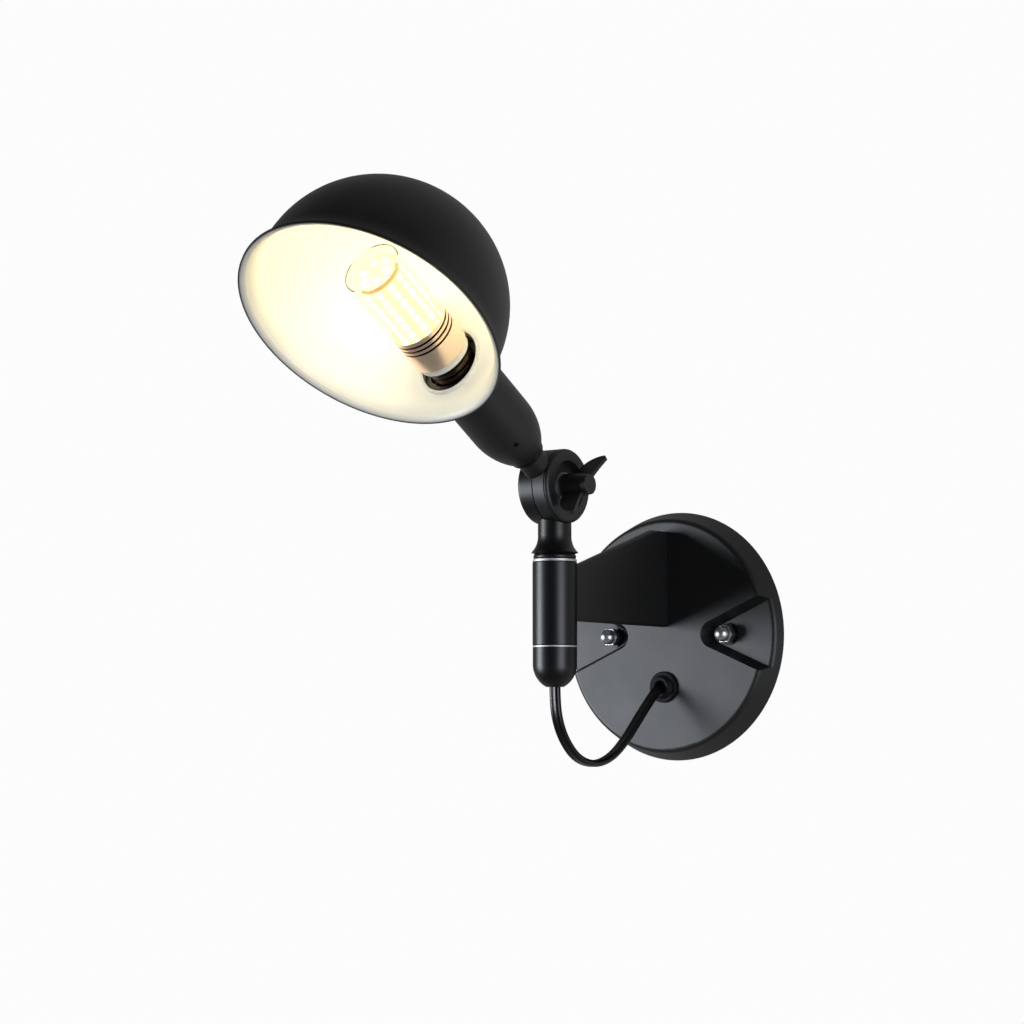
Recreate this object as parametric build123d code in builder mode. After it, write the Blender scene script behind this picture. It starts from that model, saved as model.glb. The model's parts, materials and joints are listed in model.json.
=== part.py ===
from build123d import *
import math
import os

os.makedirs("parts", exist_ok=True)

# A swing arm wall lamp. The wall is the plane y = 0, the lamp stands out along -Y, and Z is up.
# The origin is the middle of the round canopy on the wall. All sizes are in millimetres.

# Clearances that pieces share
fixed_gap = 0.05  # round seats of pieces that are screwed or pressed together
run_gap = 0.06  # running fits at the pivots, on the radius
bolt_gap = 0.3  # bolts in plain holes
free_gap = 0.4  # pieces that pass each other

# Wall bracket, its studs and the wall screws' slots
bracket_length = 116.0
bracket_width = 24.0
bracket_thick = 2.0
bracket_corner_r = 4.0
bracket_wire_hole_r = 8.0
wall_slot_spacing = 60.0
wall_slot_length = 9.0
wall_slot_r = 2.3
stud_spacing = 82.0
stud_r = 2.5
stud_chamfer = 0.6
earth_screw_r = 2.0
earth_head_r = 3.8
earth_head_height = 2.6
earth_place = (17.0, 6.5)

# Canopy: a round pan with two wedge pockets for the nuts
canopy_r = 75.0
canopy_depth = 14.2
canopy_wall = 2.0
canopy_draft = 20.5
canopy_shoulder_r = 3.2
pocket_floor = 6.7
pocket_tip = 25.8
pocket_tip_r = 8.0
pocket_half_angle = 23.0
pocket_draft = 26.0
pocket_shoulder_r = 3.0
washer_r = 6.4
washer_thick = 1.2
nut_flats = 10.0
nut_hex_height = 4.6
nut_dome_r = 4.9
nut_neck_height = 1.6
nut_edge = 0.3

# Arm from the canopy to the pivot
reach = 126.5
arm_thick = 5.0
arm_low = 5.0
arm_high = 62.5
arm_level = 14.3
arm_slope = 18.0
arm_bevel = 1.2
arm_screw_r = 1.5
arm_screw_grip = 10.0
arm_screw_head_r = 3.0
arm_screw_head_height = 2.2
arm_screw_heights = (20.0, 47.0)

# Pivot: barrel, bushes, washers, spindle and end cap
barrel_r = 12.6
barrel_low = -9.5
barrel_high = 37.8
barrel_edge = 0.4
bush_r = 10.0
bush_length = 14.0
spindle_r = 7.0
spindle_low = -22.0
thrust_gap = 0.1
upper_washer_thick = 1.2
lower_washer_thick = 0.8
thrust_washer_r = 12.5
spindle_nut_flats = 18.0
spindle_nut_thick = 4.5
cap_r = 12.5
cap_wall = 1.3
cap_straight = 9.6
cap_length = 22.3
cap_tip_r = 5.0
cap_thread = 6.0

# Swivel post above the barrel
collar_r = 12.1
collar_height = 3.1
collar_bead = 0.8
lip_r = 13.4
lip_height = 2.4
post_neck_r = 9.5
post_flare_height = 8.4
post_bore_r = 4.0
post_bore_top = 54.0

# Knuckle: two half discs on a bolt, clamped by a wing nut
knuckle_z = 80.5
knuckle_r = 21.1
knuckle_back = -11.2
knuckle_seam = -0.9
knuckle_front = 10.0
knuckle_edge = 2.0
knuckle_washer_thick = 0.6
knuckle_washer_inset = 0.5
knuckle_groove_width = 0.9
knuckle_groove_depth = 0.7
knuckle_rim_width = 2.2
dish_r = 14.4
dish_depth = 4.0
bolt_r = 3.0
bolt_head_r = 7.0
bolt_head_height = 3.0
bolt_square_length = 3.0
bolt_end = 22.6
clamp_washer_r = 8.0
clamp_washer_thick = 1.0
wing_hub_r = 7.0
wing_hub_tip_r = 5.7
wing_hub_end = 24.6
wing_span = 23.8
wing_tip_x = 25.6
wing_low_x = 12.4
wing_high_x = 22.4
wing_thick = 2.2
wing_tip_round = 1.8
wing_angle = 46.0

# Head: stem, cup and lampholder along the neck's axis, measured from the knuckle
neck_angle = 31.76
stem_r = 8.4
stem_start = 16.5
stem_end = 30.5
end_ring_r = 10.3
end_ring_height = 4.0
end_ring_edge = 0.9
nipple_r = 5.0
nipple_bore_r = 3.3
nipple_in_stem = 8.0
nipple_length = 36.0
nipple_nut_flats = 14.0
nipple_nut_thick = 3.0
cup_end_r = 11.4
cup_r = 18.6
cup_wall = 1.3
cup_floor = 4.0
cup_curve = 25.5
cup_inner_end_r = 10.5
set_screw_r = 1.5
set_screw_length = 3.0
set_screw_along = 20.7
set_screw_turn = 45.8
holder_boss_r = 9.0
holder_boss_length = 16.0
holder_taper = 6.0
holder_r = 16.9
holder_end = 110.0
holder_floor = 84.0
shell_r = 14.3
shell_wall = 0.45
shell_length = 21.0
thread_pitch = 3.62
thread_depth = 0.35
contact_width = 5.0
contact_thick = 0.6

# Shade: a dome with a flared rim; its middle is set off from the neck's axis
dome_back = 108.5
shade_drop = 12.7
shade_turn = 84.9
shade_wall = 1.2
rim_r = 73.3
rim_flare = 5.3
rim_depth = 15.5
flare_depth = 12.5
lip_reach = 2.7
lip_height = 1.65
shade_hole_r = 17.6
shade_ring_wall = 1.5
shade_ring_height = 2.0

# Bulb: screw cap, white ring, gold heat sink and a clear cover over rows of light-emitting chips
bulb_tip = 93.5
cap_button_r = 4.6
cap_button_height = 1.6
cap_cone_r = 10.8
cap_cone_height = 3.0
bulb_cap_r = 13.2
bulb_cap_length = 26.2
insulator_r = 15.2
insulator_height = 4.3
sink_r = 16.2
sink_height = 23.0
sink_groove_width = 1.3
sink_groove_pitch = 3.0
sink_groove_depth = 1.0
sink_grooves = 3
sink_groove_top = 2.6
core_flat = 12.0
core_sides = 10
core_height = 37.5
led_rows = 6
led_wide = 2.8
led_long = 3.6
led_thick = 0.8
led_row_pitch = 6.2
top_disc_r = 12.6
top_disc_thick = 2.5
top_led_ring_r = 7.6
top_leds = 6
cover_r = 16.2
cover_wall = 1.0
cover_shoulder_r = 2.0
cover_top_gap = 3.4

# Gland, cord and the wiring inside the canopy
gland_z = -31.0
gland_thread_r = 6.0
gland_thread_length = 7.0
gland_flange_r = 9.4
gland_flange_thick = 2.0
gland_nose_r = 7.2
gland_nose_tip_r = 5.6
gland_nose_length = 3.0
gland_mouth_r = 4.0
gland_nut_flats = 15.0
gland_nut_thick = 3.0
cord_wide = 6.8
cord_thick = 4.2
block_size = (28.0, 14.0, 8.0)
block_corner_r = 1.0
block_pole_spacing = 9.0
block_screw_r = 2.0
block_screw_depth = 2.0
lead_r = 1.1
lead_split = 1.6
lead_rise = 6.5
lead_in_block = 5.0
lead_bend_r = 2.5

# Planes and axes that the pieces share
wall = Plane(origin=(0, 0, 0), x_dir=(1, 0, 0), z_dir=(0, -1, 0))  # X and Z, depth outwards
side = Plane(origin=(0, 0, 0), x_dir=(0, -1, 0), z_dir=(-1, 0, 0))  # depth and Z, square to X
pivot = Plane(origin=(0, -reach, 0))
pivot_turning = Plane(origin=(0, -reach, 0), x_dir=(1, 0, 0), z_dir=(0, -1, 0))
pivot_axis = Axis((0, -reach, 0), (0, 0, 1))
knuckle = Vector(0, -reach, knuckle_z)
across = Plane(origin=knuckle, x_dir=(0, 1, 0), z_dir=(1, 0, 0))
knuckle_turning = Plane(origin=knuckle, x_dir=(1, 0, 0), z_dir=(0, -1, 0))
knuckle_axis = Axis(knuckle, (1, 0, 0))
neck_cos = math.cos(math.radians(neck_angle))
neck_sin = math.sin(math.radians(neck_angle))
neck_dir = Vector(0, -neck_cos, neck_sin)
neck_up = Vector(0, neck_sin, neck_cos)
neck = Plane(origin=knuckle, x_dir=(1, 0, 0), z_dir=neck_dir)
neck_turning = Plane(origin=knuckle, x_dir=(1, 0, 0), z_dir=-neck_up)
neck_side = Plane(origin=knuckle, x_dir=neck_dir, z_dir=(-1, 0, 0))
neck_axis = Axis(knuckle, neck_dir)
opening_angle = math.radians(shade_turn - neck_angle)
shade_r = rim_r - rim_flare
shade_along = dome_back + math.sqrt(shade_r**2 - shade_drop**2)
opening_dir = Vector(0, -math.cos(opening_angle), -math.sin(opening_angle))
shade_centre = knuckle + neck_dir * shade_along - neck_up * shade_drop
shade_turning = Plane(
    origin=shade_centre,
    x_dir=(1, 0, 0),
    z_dir=(0, math.sin(opening_angle), -math.cos(opening_angle)),
)
shade_axis = Axis(shade_centre, opening_dir)

# Places that follow from the sizes above
stud_places = [(-stud_spacing / 2, 0), (stud_spacing / 2, 0)]
nut_seat = pocket_floor + washer_thick
nut_bore = nut_hex_height + nut_neck_height + nut_dome_r / 2
stud_length = nut_seat + nut_bore - bolt_gap
canopy_inside = canopy_depth - canopy_wall
arm_screw_places = [(0, height) for height in arm_screw_heights]
collar_low = barrel_high + thrust_gap + upper_washer_thick
lip_low = collar_low + collar_height
lip_high = lip_low + lip_height
post_neck_low = lip_high + post_flare_height
lower_washer_top = barrel_low - thrust_gap
cap_top = lower_washer_top - lower_washer_thick
cap_low = cap_top - cap_length
knuckle_front_low = knuckle_seam + knuckle_washer_thick + fixed_gap
dish_floor = knuckle_front - dish_depth
wing_hub_start = dish_floor + clamp_washer_thick + fixed_gap
cup_start = stem_end + end_ring_height
cup_full = cup_start + cup_curve
nipple_start = stem_end - nipple_in_stem
nipple_end = nipple_start + nipple_length
holder_start = cup_start + cup_floor + nipple_nut_thick + 2 * cup_wall
cup_reach = shade_along - math.sqrt(shade_r**2 - (shade_drop + cup_r) ** 2) + cup_wall
flare_start = rim_depth - flare_depth
bulb_cap_end = bulb_tip + bulb_cap_length
sink_start = bulb_cap_end + insulator_height
sink_end = sink_start + sink_height
core_end = sink_end + core_height
top_led_seat = core_end + top_disc_thick
cover_end = top_led_seat + led_thick + cover_top_gap + cover_wall


def zigzag(low, high, outer, inner):
    """Points of a round thread's profile, from low to high, that swings between two radii."""
    count = 2 * max(2, round((high - low) / thread_pitch)) + 1
    step = (high - low) / (count - 1)
    return [((outer, inner)[i % 2], low + i * step) for i in range(count)]


def pan_solid(pan_r, depth, shoulder_r):
    """A round pan on the wall: a drafted side, a rounded shoulder and a flat front."""
    front_r = pan_r - depth * math.tan(math.radians(canopy_draft))
    with BuildPart() as pan:
        with BuildSketch(Plane.XY) as profile:
            with BuildLine():
                Polyline((0, 0), (pan_r, 0), (front_r, -depth), (0, -depth), close=True)
            make_face()
            fillet(profile.vertices().group_by(Axis.Y)[0].sort_by(Axis.X)[-1], shoulder_r)
        revolve(axis=Axis.Y)
    return pan.part


def pocket_solid(hand, sheet):
    """A wedge with a round tip and drafted walls, open past the rim, widened by the sheet."""
    angle = math.radians(pocket_half_angle)
    tip_middle = pocket_tip + pocket_tip_r
    outer_x = canopy_r + pocket_tip_r
    with BuildPart() as pocket:
        for depth in (pocket_floor, canopy_depth + canopy_wall):
            inset = (canopy_depth - depth) * math.tan(math.radians(pocket_draft)) - sheet
            tip_r = pocket_tip_r - inset
            tangent_x = tip_middle - tip_r * math.sin(angle)
            tangent_z = tip_r * math.cos(angle)
            outer_z = tangent_z + (outer_x - tangent_x) * math.tan(angle)
            with BuildSketch(wall.offset(depth)):
                with BuildLine():
                    Line((hand * outer_x, -outer_z), (hand * tangent_x, -tangent_z))
                    ThreePointArc(
                        (hand * tangent_x, -tangent_z),
                        (hand * (tip_middle - tip_r), 0),
                        (hand * tangent_x, tangent_z),
                    )
                    Line((hand * tangent_x, tangent_z), (hand * outer_x, outer_z))
                    Line((hand * outer_x, outer_z), (hand * outer_x, -outer_z))
                make_face()
        loft(ruled=True)
        extrude(pocket.faces().sort_by(Axis.Y)[-1], amount=pocket_shoulder_r)
    return pocket.part


def canopy_form(sheet):
    """The canopy's outside where sheet is 0, or its hollow where sheet is the wall's thickness."""
    full = pan_solid(canopy_r - sheet, canopy_depth - sheet, canopy_shoulder_r - sheet)
    floors = pan_solid(canopy_r - sheet, pocket_floor - sheet, pocket_shoulder_r - sheet)
    pockets = [pocket_solid(hand, sheet) for hand in (-1, 1)]
    with BuildPart() as form:
        add(full)
        add(pockets, mode=Mode.SUBTRACT)
        add(floors)
    return form.part


# Wall bracket: a flat steel strap against the wall
with BuildPart() as wall_bracket:
    with BuildSketch(wall):
        RectangleRounded(bracket_length, bracket_width, bracket_corner_r)
        Circle(bracket_wire_hole_r, mode=Mode.SUBTRACT)
        with Locations(*stud_places):
            Circle(stud_r + fixed_gap, mode=Mode.SUBTRACT)
        with GridLocations(wall_slot_spacing, 1, 2, 1):
            SlotOverall(wall_slot_length, 2 * wall_slot_r, mode=Mode.SUBTRACT)
        with Locations(earth_place):
            Circle(earth_screw_r + fixed_gap, mode=Mode.SUBTRACT)
    extrude(amount=bracket_thick)
wall_bracket.part.label = "wall_bracket"
export_step(wall_bracket.part, "parts/wall_bracket.step")

# Two studs pressed into the strap; they pass through the pockets' floors
with BuildPart() as bracket_studs:
    with BuildSketch(wall):
        with Locations(*stud_places):
            Circle(stud_r)
    extrude(amount=stud_length)
    chamfer(bracket_studs.edges().group_by(Axis.Y)[0], stud_chamfer)
bracket_studs.part.label = "bracket_studs"
export_step(bracket_studs.part, "parts/bracket_studs.step")

# Earth screw in the strap
with BuildPart() as earth_screw:
    with BuildSketch(wall):
        with Locations(earth_place):
            Circle(earth_screw_r)
    extrude(amount=bracket_thick)
    with BuildSketch(wall.offset(bracket_thick)):
        with Locations(earth_place):
            Circle(earth_head_r)
    extrude(amount=earth_head_height)
    fillet(earth_screw.edges().group_by(Axis.Y)[0], earth_head_height / 3)
earth_screw.part.label = "earth_screw"
export_step(earth_screw.part, "parts/earth_screw.step")

# Canopy: the pressed pan, with holes for the studs, the arm's screws and the gland
canopy_outside = canopy_form(0)
canopy_hollow = canopy_form(canopy_wall)
with BuildPart() as canopy:
    add(canopy_outside)
    add(canopy_hollow, mode=Mode.SUBTRACT)
    with BuildSketch(wall):
        with Locations(*stud_places):
            Circle(stud_r + bolt_gap)
        with Locations(*arm_screw_places):
            Circle(arm_screw_r + bolt_gap)
        with Locations((0, gland_z)):
            Circle(gland_thread_r + bolt_gap)
    extrude(amount=canopy_depth + canopy_wall, mode=Mode.SUBTRACT)
canopy.part.label = "canopy"
export_step(canopy.part, "parts/canopy.step")

# Plain washers under the acorn nuts
with BuildPart() as stud_washers:
    with BuildSketch(wall.offset(pocket_floor)):
        with Locations(*stud_places):
            Circle(washer_r)
            Circle(stud_r + bolt_gap, mode=Mode.SUBTRACT)
    extrude(amount=washer_thick)
stud_washers.part.label = "stud_washers"
export_step(stud_washers.part, "parts/stud_washers.step")

# Acorn nuts: a hexagon, a short neck and a dome over a blind thread
with BuildPart() as acorn_nuts:
    with BuildSketch(wall.offset(nut_seat)):
        with Locations(*stud_places):
            RegularPolygon(nut_flats / 2, 6, major_radius=False)
    extrude(amount=nut_hex_height)
    chamfer(acorn_nuts.faces().group_by(Axis.Y)[0].edges(), nut_edge)
    with BuildSketch(wall.offset(nut_seat + nut_hex_height)):
        with Locations(*stud_places):
            Circle(nut_dome_r - nut_edge)
    extrude(amount=nut_neck_height)
    with Locations(*[(x, -(nut_seat + nut_hex_height + nut_neck_height), z) for x, z in stud_places]):
        Sphere(nut_dome_r - nut_edge)
    with BuildSketch(wall.offset(nut_seat)):
        with Locations(*stud_places):
            Circle(stud_r + fixed_gap)
    extrude(amount=nut_bore, mode=Mode.SUBTRACT)
acorn_nuts.part.label = "acorn_nuts"
export_step(acorn_nuts.part, "parts/acorn_nuts.step")

# Arm: a flat casting that is level near the canopy and slopes down to the barrel
arm_end_high = arm_high - (reach - canopy_depth - arm_level) * math.tan(math.radians(arm_slope))
with BuildPart() as bracket_arm:
    with BuildSketch(side):
        with BuildLine():
            Polyline(
                (canopy_depth, arm_low),
                (canopy_depth, arm_high),
                (canopy_depth + arm_level, arm_high),
                (reach, arm_end_high),
                (reach, arm_low),
                close=True,
            )
        make_face()
    extrude(amount=arm_thick / 2, both=True)
    arm_faces = bracket_arm.faces().filter_by(Axis.X)
    chamfer(arm_faces.edges().filter_by(Axis.Z, reverse=True), arm_bevel)
    with BuildSketch(pivot.offset(arm_low)):
        Circle(barrel_r + fixed_gap)
    extrude(amount=arm_high - arm_low, mode=Mode.SUBTRACT)
    with BuildSketch(wall.offset(canopy_depth)):
        with Locations(*arm_screw_places):
            Circle(arm_screw_r + fixed_gap)
    extrude(amount=arm_screw_grip + bolt_gap, mode=Mode.SUBTRACT)
bracket_arm.part.label = "bracket_arm"
export_step(bracket_arm.part, "parts/bracket_arm.step")

# Screws that hold the arm, put in from behind the canopy's front
with BuildPart() as arm_screws:
    with BuildSketch(wall.offset(canopy_inside)):
        with Locations(*arm_screw_places):
            Circle(arm_screw_r)
    extrude(amount=canopy_wall + arm_screw_grip)
    with BuildSketch(wall.offset(canopy_inside)):
        with Locations(*arm_screw_places):
            Circle(arm_screw_head_r)
    extrude(amount=-arm_screw_head_height)
    fillet(arm_screws.edges().group_by(Axis.Y)[-1], arm_screw_head_height / 3)
arm_screws.part.label = "arm_screws"
export_step(arm_screws.part, "parts/arm_screws.step")

# Barrel: the sleeve that is welded to the arm's end
with BuildPart() as pivot_barrel:
    with BuildSketch(pivot.offset(barrel_low)):
        Circle(barrel_r)
        Circle(bush_r + fixed_gap, mode=Mode.SUBTRACT)
    extrude(amount=barrel_high - barrel_low)
    barrel_ends = pivot_barrel.faces().filter_by(Axis.Z)
    chamfer(barrel_ends.edges().group_by(SortBy.RADIUS)[-1], barrel_edge)
pivot_barrel.part.label = "pivot_barrel"
export_step(pivot_barrel.part, "parts/pivot_barrel.step")

# Plain bearings in both ends of the barrel
with BuildPart() as upper_bush:
    with BuildSketch(pivot.offset(barrel_high - bush_length)):
        Circle(bush_r)
        Circle(spindle_r + run_gap, mode=Mode.SUBTRACT)
    extrude(amount=bush_length)
upper_bush.part.label = "upper_bush"
export_step(upper_bush.part, "parts/upper_bush.step")

with BuildPart() as lower_bush:
    with BuildSketch(pivot.offset(barrel_low)):
        Circle(bush_r)
        Circle(spindle_r + run_gap, mode=Mode.SUBTRACT)
    extrude(amount=bush_length)
lower_bush.part.label = "lower_bush"
export_step(lower_bush.part, "parts/lower_bush.step")

# Bright thrust washers above and below the barrel
with BuildPart() as upper_washer:
    with BuildSketch(pivot.offset(barrel_high + thrust_gap)):
        Circle(thrust_washer_r)
        Circle(spindle_r + fixed_gap, mode=Mode.SUBTRACT)
    extrude(amount=upper_washer_thick)
upper_washer.part.label = "upper_washer"
export_step(upper_washer.part, "parts/upper_washer.step")

with BuildPart() as lower_washer:
    with BuildSketch(pivot.offset(cap_top)):
        Circle(thrust_washer_r)
        Circle(spindle_r + fixed_gap, mode=Mode.SUBTRACT)
    extrude(amount=lower_washer_thick)
lower_washer.part.label = "lower_washer"
export_step(lower_washer.part, "parts/lower_washer.step")

# Swivel post: a turned spindle, a beaded collar, a flared lip and a neck with the knuckle's back half on top
groove_r = collar_r - collar_bead
bead_middle = collar_low + collar_height / 2
lip_edge = lip_low + lip_height / 2
with BuildPart() as swivel_post:
    with BuildSketch(pivot_turning):
        with BuildLine():
            Polyline(
                (0, knuckle_z),
                (0, spindle_low),
                (spindle_r, spindle_low),
                (spindle_r, collar_low),
                (groove_r, collar_low),
            )
            ThreePointArc((groove_r, collar_low), (collar_r, bead_middle), (groove_r, lip_low))
            Line((groove_r, lip_low), (lip_r, lip_edge))
            TangentArc((post_neck_r, post_neck_low), (lip_r, lip_edge), tangent=(0, -1))
            Polyline((post_neck_r, post_neck_low), (post_neck_r, knuckle_z), (0, knuckle_z))
        make_face()
    revolve(axis=pivot_axis)
    with BuildSketch(across.offset(knuckle_seam)):
        Circle(knuckle_r + free_gap)
    extrude(amount=knuckle_front - knuckle_back, mode=Mode.SUBTRACT)
    with BuildSketch(across.offset(knuckle_back)):
        Circle(knuckle_r)
    extrude(amount=knuckle_seam - knuckle_back)
    back_face = swivel_post.faces().filter_by(Axis.X).sort_by(Axis.X)[0]
    fillet(back_face.edges(), knuckle_edge)
    with BuildSketch(across.offset(knuckle_back)):
        Circle(bolt_r + fixed_gap)
    extrude(amount=knuckle_seam - knuckle_back, mode=Mode.SUBTRACT)
    with BuildSketch(across.offset(knuckle_back)):
        Rectangle(2 * (bolt_r + fixed_gap), 2 * (bolt_r + fixed_gap))
    extrude(amount=bolt_square_length + fixed_gap, mode=Mode.SUBTRACT)
    with BuildSketch(pivot.offset(spindle_low)):
        Circle(post_bore_r)
    extrude(amount=post_bore_top - spindle_low, mode=Mode.SUBTRACT)
swivel_post.part.label = "swivel_post"
export_step(swivel_post.part, "parts/swivel_post.step")

# Nut that holds the spindle in the barrel
with BuildPart() as spindle_nut:
    with BuildSketch(pivot.offset(cap_top)):
        RegularPolygon(spindle_nut_flats / 2, 6, major_radius=False)
        Circle(spindle_r + fixed_gap, mode=Mode.SUBTRACT)
    extrude(amount=-spindle_nut_thick)
spindle_nut.part.label = "spindle_nut"
export_step(spindle_nut.part, "parts/spindle_nut.step")

# End cap: hides the nut, screws onto the spindle's end and lets the cord in
cap_chamber_low = cap_top - spindle_nut_thick - free_gap
cap_thread_low = spindle_low - free_gap
with BuildPart() as end_cap:
    with BuildSketch(pivot_turning):
        with BuildLine():
            Polyline((0, cap_low), (0, cap_top), (cap_r, cap_top), (cap_r, cap_top - cap_straight))
            TangentArc((cap_r, cap_top - cap_straight), (cap_tip_r, cap_low), tangent=(0, -1))
            Line((cap_tip_r, cap_low), (0, cap_low))
        make_face()
    revolve(axis=pivot_axis)
    with BuildSketch(pivot.offset(cap_chamber_low)):
        Circle(cap_r - cap_wall)
    extrude(amount=cap_top - cap_chamber_low, mode=Mode.SUBTRACT)
    with BuildSketch(pivot.offset(cap_thread_low)):
        Circle(spindle_r + fixed_gap)
    extrude(amount=cap_chamber_low - cap_thread_low, mode=Mode.SUBTRACT)
    with BuildSketch(pivot.offset(cap_low)):
        Circle(cord_wide / 2 + free_gap)
    extrude(amount=cap_thread_low - cap_low, mode=Mode.SUBTRACT)
end_cap.part.label = "end_cap"
export_step(end_cap.part, "parts/end_cap.step")

# Friction washer between the knuckle's halves
with BuildPart() as knuckle_washer:
    with BuildSketch(across.offset(knuckle_seam)):
        Circle(knuckle_r - knuckle_washer_inset)
        Circle(bolt_r + bolt_gap, mode=Mode.SUBTRACT)
    extrude(amount=knuckle_washer_thick)
knuckle_washer.part.label = "knuckle_washer"
export_step(knuckle_washer.part, "parts/knuckle_washer.step")

# Carriage bolt through the knuckle, its square held in the back half
with BuildPart() as pivot_bolt:
    with BuildSketch(across.offset(knuckle_back)):
        Circle(bolt_head_r)
    extrude(amount=-bolt_head_height)
    fillet(pivot_bolt.edges().group_by(Axis.X)[0], bolt_head_height * 0.8)
    with BuildSketch(across.offset(knuckle_back)):
        Rectangle(2 * bolt_r, 2 * bolt_r)
    extrude(amount=bolt_square_length)
    with BuildSketch(across.offset(knuckle_back)):
        Circle(bolt_r)
    extrude(amount=bolt_end - knuckle_back)
    chamfer(pivot_bolt.edges().group_by(Axis.X)[-1], stud_chamfer)
pivot_bolt.part.label = "pivot_bolt"
export_step(pivot_bolt.part, "parts/pivot_bolt.step")

# Front half of the knuckle: a grooved disc with a dished face, and the stem that carries the head
groove_x = knuckle_front - knuckle_rim_width
with BuildPart() as head_knuckle:
    with BuildSketch(knuckle_turning) as disc:
        with BuildLine():
            Polyline(
                (knuckle_front_low, bolt_r + run_gap),
                (knuckle_front_low, knuckle_r),
                (groove_x - knuckle_groove_width, knuckle_r),
                (groove_x - knuckle_groove_width / 2, knuckle_r - knuckle_groove_depth),
                (groove_x, knuckle_r),
                (knuckle_front, knuckle_r),
                (knuckle_front, dish_r),
                (dish_floor, dish_r - dish_depth / 4),
                (dish_floor, bolt_r + run_gap),
                close=True,
            )
        make_face()
        fillet(disc.vertices().group_by(Axis.X)[-1].sort_by(Axis.Y)[-1], knuckle_edge)
    revolve(axis=knuckle_axis)
    with BuildSketch(neck.offset(stem_start)):
        Circle(stem_r)
    extrude(amount=stem_end - stem_start)
    with BuildSketch(across.offset(knuckle_front_low)):
        Circle(knuckle_r + free_gap)
    extrude(amount=knuckle_back - knuckle_front, mode=Mode.SUBTRACT)
    with BuildSketch(neck.offset(nipple_start)):
        Circle(nipple_r + fixed_gap)
    extrude(amount=stem_end - nipple_start, mode=Mode.SUBTRACT)
head_knuckle.part.label = "head_knuckle"
export_step(head_knuckle.part, "parts/head_knuckle.step")

# Washer under the wing nut, in the dished face
with BuildPart() as clamp_washer:
    with BuildSketch(across.offset(dish_floor)):
        Circle(clamp_washer_r)
        Circle(bolt_r + bolt_gap, mode=Mode.SUBTRACT)
    extrude(amount=clamp_washer_thick)
clamp_washer.part.label = "clamp_washer"
export_step(clamp_washer.part, "parts/clamp_washer.step")

# Wing nut: a tapered hub with a blind thread and two leaf-shaped wings
wing_dir = Vector(0, math.cos(math.radians(wing_angle)), math.sin(math.radians(wing_angle)))
wing_plane = Plane(origin=knuckle, x_dir=wing_dir, z_dir=(0, wing_dir.Z, -wing_dir.Y))
wing_root = bolt_r + (wing_hub_tip_r - bolt_r) / 2
wing_middle = (wing_root + wing_span) / 2
wing_bow = wing_root + 0.69 * (wing_span - wing_root)
wing_belly = wing_low_x + 0.07 * (wing_tip_x - wing_low_x)
wing_crest = (wing_high_x + wing_tip_x) / 2 - wing_thick / 4
with BuildPart() as wing_nut:
    with BuildSketch(wing_plane) as leaf:
        with BuildLine():
            ThreePointArc((wing_root, wing_low_x), (wing_bow, wing_belly), (wing_span, wing_tip_x))
            ThreePointArc((wing_span, wing_tip_x), (wing_middle, wing_crest), (wing_root, wing_high_x))
            Line((wing_root, wing_high_x), (wing_root, wing_low_x))
        make_face()
        fillet(leaf.vertices().sort_by(Axis(knuckle, wing_dir))[-1], wing_tip_round)
    extrude(amount=wing_thick / 2, both=True)
    mirror(about=Plane(origin=knuckle, z_dir=wing_dir))
    with BuildSketch(knuckle_turning):
        with BuildLine():
            Polyline(
                (wing_hub_start, 0),
                (wing_hub_start, wing_hub_r),
                (wing_low_x, wing_hub_r),
                (wing_hub_end, wing_hub_tip_r),
                (wing_hub_end, 0),
                close=True,
            )
        make_face()
    revolve(axis=knuckle_axis)
    with BuildSketch(across.offset(wing_hub_start)):
        Circle(bolt_r + run_gap)
    extrude(amount=bolt_end + bolt_gap - wing_hub_start, mode=Mode.SUBTRACT)
wing_nut.part.label = "wing_nut"
export_step(wing_nut.part, "parts/wing_nut.step")

# Ring between the stem and the cup
with BuildPart() as cup_end_ring:
    with BuildSketch(neck.offset(stem_end)):
        Circle(end_ring_r)
        Circle(nipple_r + fixed_gap, mode=Mode.SUBTRACT)
    extrude(amount=end_ring_height)
    ring_ends = cup_end_ring.faces().filter_by(neck_axis)
    fillet(ring_ends.edges().group_by(SortBy.RADIUS)[-1], end_ring_edge)
cup_end_ring.part.label = "cup_end_ring"
export_step(cup_end_ring.part, "parts/cup_end_ring.step")

# Threaded nipple that joins the stem, the cup and the lampholder, and carries the wires
with BuildPart() as cup_nipple:
    with BuildSketch(neck.offset(nipple_start)):
        Circle(nipple_r)
        Circle(nipple_bore_r, mode=Mode.SUBTRACT)
    extrude(amount=nipple_length)
cup_nipple.part.label = "cup_nipple"
export_step(cup_nipple.part, "parts/cup_nipple.step")

with BuildPart() as nipple_nut:
    with BuildSketch(neck.offset(cup_start + cup_floor)):
        RegularPolygon(nipple_nut_flats / 2, 6, major_radius=False)
        Circle(nipple_r + fixed_gap, mode=Mode.SUBTRACT)
    extrude(amount=nipple_nut_thick)
nipple_nut.part.label = "nipple_nut"
export_step(nipple_nut.part, "parts/nipple_nut.step")

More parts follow.
